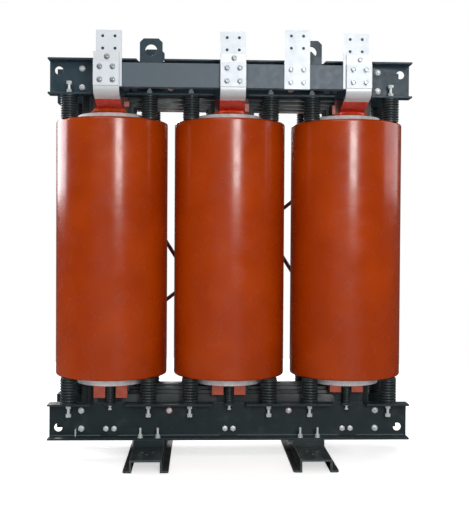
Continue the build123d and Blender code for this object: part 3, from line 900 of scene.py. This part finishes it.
# %% [markdown]
# ## High-voltage side
#
# Insulated rods join the coils in a delta. Brass studs and a short link pick each coil's tap.
# %% Bent rods
def rounded_path(points, radius, steps=8):
    """The points of a polyline whose inner corners are replaced by arcs."""
    points = [Vector(p) for p in points]
    path = [points[0]]
    for before, corner, after in zip(points, points[1:], points[2:]):
        back, ahead = (before - corner).normalized(), (after - corner).normalized()
        half = back.angle(ahead) / 2
        centre = corner + (back + ahead).normalized() * (radius / math.sin(half))
        start = (corner + back * (radius / math.tan(half)) - centre).normalized()
        end = (corner + ahead * (radius / math.tan(half)) - centre).normalized()
        for step in range(steps + 1):
            path.append(centre + radius * start.slerp(end, step / steps))
    return path + [points[-1]]


def rod(shape, path, radius, sides=20):
    """Sweep a circle along a path, turning its frame as little as possible."""
    vertices, faces = [], []
    direction = (path[1] - path[0]).normalized()
    side = direction.orthogonal().normalized()
    for i, point in enumerate(path):
        turned_to = (path[min(i + 1, len(path) - 1)] - path[max(i - 1, 0)]).normalized()
        side = direction.rotation_difference(turned_to) @ side
        direction = turned_to
        other = direction.cross(side)
        for step in range(sides):
            angle = 2 * math.pi * step / sides
            vertices.append(point + radius * (math.cos(angle) * side + math.sin(angle) * other))
    for i in range(len(path) - 1):
        for k in range(sides):
            a, b = i * sides + k, i * sides + (k + 1) % sides
            faces.append([a, b, b + sides, a + sides])
    faces += [list(reversed(range(sides))), list(range(len(vertices) - sides, len(vertices)))]
    shape.add(vertices, faces, Matrix.Identity(4))


# %% Delta links
rod_radius, rod_bend = link_radius - 0.6 * MM, 26 * MM
near_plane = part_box("delta_link_left")[1][1] - link_radius
far_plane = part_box("delta_link_long")[1][1] - link_radius
xa, xb, xc = limb_x.values()
link_fittings = Shape()
for node, start_x, end_x, plane in (
    ("delta_link_left", xa, xb, near_plane),
    ("delta_link_right", xb, xc, near_plane),
    ("delta_link_long", xc, xa, far_plane),
):
    corners = [
        (start_x, boss_face, hv_high_z),
        (start_x, plane, hv_high_z),
        (end_x, plane, hv_low_z),
        (end_x, boss_face, hv_low_z),
    ]
    link = Shape()
    rod(link, rounded_path(corners, rod_bend), rod_radius)
    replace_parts(link.piece(f"{node}_rod", sleeve), node)
    for x, z in ((start_x, hv_high_z), (end_x, hv_low_z)):
        place = facing(x, boss_face, z, 1)
        washer(link_fittings, place, radius=20 * MM, thickness=3 * MM)
        nut(link_fittings, place, across=27 * MM, height=9 * MM, start=3 * MM)
        stud(link_fittings, place, radius=12 * MM, end=20 * MM, start=12 * MM, slot=1)
link_fittings.piece("delta_link_fittings", zinc, brass)
print("link planes mm:", round(near_plane / MM), round(far_plane / MM))

# %% Tap studs and links
taps = Shape()
link_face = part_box("tap_links")[1][1]
tap_reach = link_face - tap_face
bar_low, bar_high = tap_reach - 12 * MM, tap_reach - 7 * MM
bar_half_width, bar_half_height = 13 * MM, 53 * MM
stud_rise, stud_shift = 40 * MM, 52 * MM
linked_studs = [(0, -stud_rise), (0, stud_rise)]
free_studs = [(-stud_shift, 0), (stud_shift, 0), (0, -3 * stud_rise), (0, 3 * stud_rise)]
for x in limb_x.values():
    for shift, rise in linked_studs + free_studs:
        place = facing(x + shift, tap_face, tap_z + rise, 1)
        nut_start = bar_high if (shift, rise) in linked_studs else bar_low
        washer(taps, place, radius=12 * MM, thickness=bar_low)
        nut(taps, place, across=17 * MM, height=5.5 * MM, start=nut_start)
        stud(taps, place, radius=5 * MM, end=tap_reach)
    taps.box(
        (x - bar_half_width, tap_face + bar_low, tap_z - bar_half_height),
        (x + bar_half_width, tap_face + bar_high, tap_z + bar_half_height),
    )
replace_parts(taps.piece("tap_studs_and_bars", brass, bevel_mm=0.5), "tap_links")
print("tap links:", len(limb_x))

# %% [markdown]
# ## Small things on the clamps
#
# A weld bead runs along the inside corner of each lower clamp, and an earthing tab stands at one
# end.
# %% Welds and earthing tab
welds = Shape()
clamp_end = lower_clamp[1][0]
weld_inset, limb_gap_half = 12 * MM, 43 * MM
# The bead stops at each end and in front of each limb
weld_ends = [-clamp_end + weld_inset]
for x in limb_x.values():
    weld_ends += [x - limb_gap_half, x + limb_gap_half]
weld_ends.append(clamp_end - weld_inset)
weld_spans = list(zip(weld_ends[::2], weld_ends[1::2]))
weld_reach, weld_sunk, ripple_step = 3.6 * MM, 0.2 * MM, 4 * MM
weld_arc = [math.pi / 2 * k / 4 for k in range(5)]
corner_z = lower_clamp_z + clamp_plate


def weld_bead(start, end, side):
    """A rippled fillet in the corner of a clamp between two places along X."""
    ripples = int((end - start) / ripple_step)
    row = len(weld_arc)
    vertices, faces = [], []
    for i in range(ripples + 1):
        x = start + (end - start) * i / ripples
        swell = 1 + 0.10 * math.sin(i * 2.1) + 0.05 * math.sin(i * 0.7)
        for angle in weld_arc:
            reach = weld_reach * swell * (1 - 0.30 * math.sin(2 * angle))
            y = side * (web_outer - weld_sunk + reach * math.cos(angle))
            vertices.append((x, y, corner_z - weld_sunk + reach * math.sin(angle)))
    for i in range(ripples):
        for a in range(i * row, i * row + row - 1):
            faces.append([a, a + 1, a + row + 1, a + row])
    return vertices, faces


for side in (-1, 1):
    for start, end in weld_spans:
        welds.add(*weld_bead(start, end, side), Matrix.Identity(4))
# The beads' lighter enamel is a painted highlight
welds.piece("corner_welds", weld_highlight_paint, sharp=80)

tab = Shape()
tab_x, tab_z = -751 * MM, 117 * MM
tab_half_plate, tab_half_height, tab_proud = 2.5 * MM, 18 * MM, 34 * MM
tab.box(
    (tab_x - tab_half_plate, -web_outer - tab_proud, tab_z - tab_half_height),
    (tab_x + tab_half_plate, -web_outer, tab_z + tab_half_height),
)
tab.piece("earthing_tab", zinc, bevel_mm=0.8)
print("weld beads:", 2 * len(weld_spans))

# %% [markdown]
# ## Camera, light and floor
#
# The camera stands a little left of centre and looks slightly to the right. One softbox stands
# in front and one behind, a window lights each side, and broad soft lamps fill the rest. The
# floor is plain and pale.
# %% Camera
camera_place = (-0.152, -4.4285, 1.07)
yaw, pitch, roll = math.radians(2.32), math.radians(-1.04), math.radians(0.35)
camera_data = bpy.data.cameras.new("camera")
camera_data.lens = 67.1
camera_data.sensor_width = 36
camera_data.sensor_fit = "HORIZONTAL"
camera = bpy.data.objects.new("camera", camera_data)
bpy.context.collection.objects.link(camera)
across, along = math.sin(yaw) * math.cos(pitch), math.cos(yaw) * math.cos(pitch)
forward = Vector((across, along, math.sin(pitch)))
level = Vector((math.cos(yaw), -math.sin(yaw), 0))
above = level.cross(forward)
right = math.cos(roll) * level + math.sin(roll) * above
upward = math.cos(roll) * above - math.sin(roll) * level
turn = Matrix((right, upward, -forward)).transposed()
camera.matrix_world = Matrix.Translation(camera_place) @ turn.to_4x4()
bpy.context.scene.camera = camera
print("camera at:", camera_place)


# %% Light
def panel(name, place, aim, size, power, colour=(1, 1, 1)):
    """A rectangular area light that looks at a point."""
    light = bpy.data.lights.new(name, "AREA")
    light.shape = "RECTANGLE"
    light.size, light.size_y = size
    light.energy = power
    light.color = colour
    lamp = bpy.data.objects.new(name, light)
    bpy.context.collection.objects.link(lamp)
    lamp.location = place
    lamp.rotation_euler = (Vector(aim) - Vector(place)).to_track_quat("-Z", "Y").to_euler()
    lamp.visible_camera = False


def soft_lamp(name, turn_x, turn_z, strength, mirrored=True):
    """Even light from one direction, as from a bank of softboxes 50 degrees wide.

    mirrored says if gloss shows it.
    """
    light = bpy.data.lights.new(name, "SUN")
    light.energy = strength
    light.angle = math.radians(50)
    lamp = bpy.data.objects.new(name, light)
    bpy.context.collection.objects.link(lamp)
    lamp.rotation_euler = (math.radians(turn_x), 0, math.radians(turn_z))
    lamp.visible_glossy = mirrored


panel("front softbox", (1.2, -5.5, 2.1), (0.3, 0, 2.0), (1.25, 1.55), 100)
panel("back softbox", (-1.0, 4.7, 3.0), (0, 0, 1.3), (1.6, 1.2), 70)
panel("left window", (-3.15, 1.4, 2.3), (-0.6, 0, 1.6), (2.3, 2.0), 90, (0.95, 0.94, 1.0))
panel("right window", (3.4, 0.4, 2.3), (0.6, 0, 1.6), (2.6, 2.0), 34, (0.95, 0.92, 1.0))
soft_lamp("front ceiling light", 46, -10, 0.85)
soft_lamp("front fill", 90, -9, 0.6, mirrored=False)
soft_lamp("front bounce", 106, -9, 0.35, mirrored=False)
soft_lamp("back fill", -80, 8, 0.4, mirrored=False)
soft_lamp("back ceiling light", -46, 12, 1.0)

# The walls are white to the camera and dim to everything else
world = bpy.data.worlds.new("studio")
world.use_nodes = True
bpy.context.scene.world = world
tree = world.node_tree
sky = tree.nodes["Background"]
seen = add_node(tree, "ShaderNodeLightPath").outputs["Is Camera Ray"]
tone = add_node(tree, "ShaderNodeMapRange", {"Value": seen, "To Min": 0.06, "To Max": 1.0})
tree.links.new(tone.outputs["Result"], sky.inputs["Strength"])
sky.inputs["Color"].default_value = (1, 1, 1, 1)
print("lights:", len(bpy.data.lights))

# %% Floor
floor_radius, floor_sides = 3.4, 96
turns = [math.tau * k / floor_sides for k in range(floor_sides)]
rim = [(floor_radius * math.cos(turn), floor_radius * math.sin(turn), 0) for turn in turns]
floor_mesh = bpy.data.meshes.new("floor")
floor_mesh.from_pydata(rim, [], [list(range(floor_sides))])
floor_finish, tree, surface = new_material("matt studio floor", "#f6f6f4", 0.6)
mirrored = add_node(tree, "ShaderNodeLightPath").outputs["Is Glossy Ray"]
# Glossy rays meet a darker floor, as with black cloths laid outside the picture
connect(tree, surface, Base_Color=mixed(tree, mirrored, "#f6f6f4", "#202020"))
# A faint glow, as of a light table, keeps the shadows pale
seen = add_node(tree, "ShaderNodeLightPath").outputs["Is Camera Ray"]
glow = add_node(tree, "ShaderNodeMapRange", {"Value": seen, "To Min": 0.0, "To Max": 0.6})
connect(tree, surface, Emission_Strength=glow.outputs["Result"])
surface.inputs["Emission Color"].default_value = (1, 1, 1, 1)
floor_mesh.materials.append(floor_finish)
floor = bpy.data.objects.new("floor", floor_mesh)
bpy.context.collection.objects.link(floor)
bpy.context.scene.view_settings.view_transform = "Standard"
print("floor radius:", floor_radius)
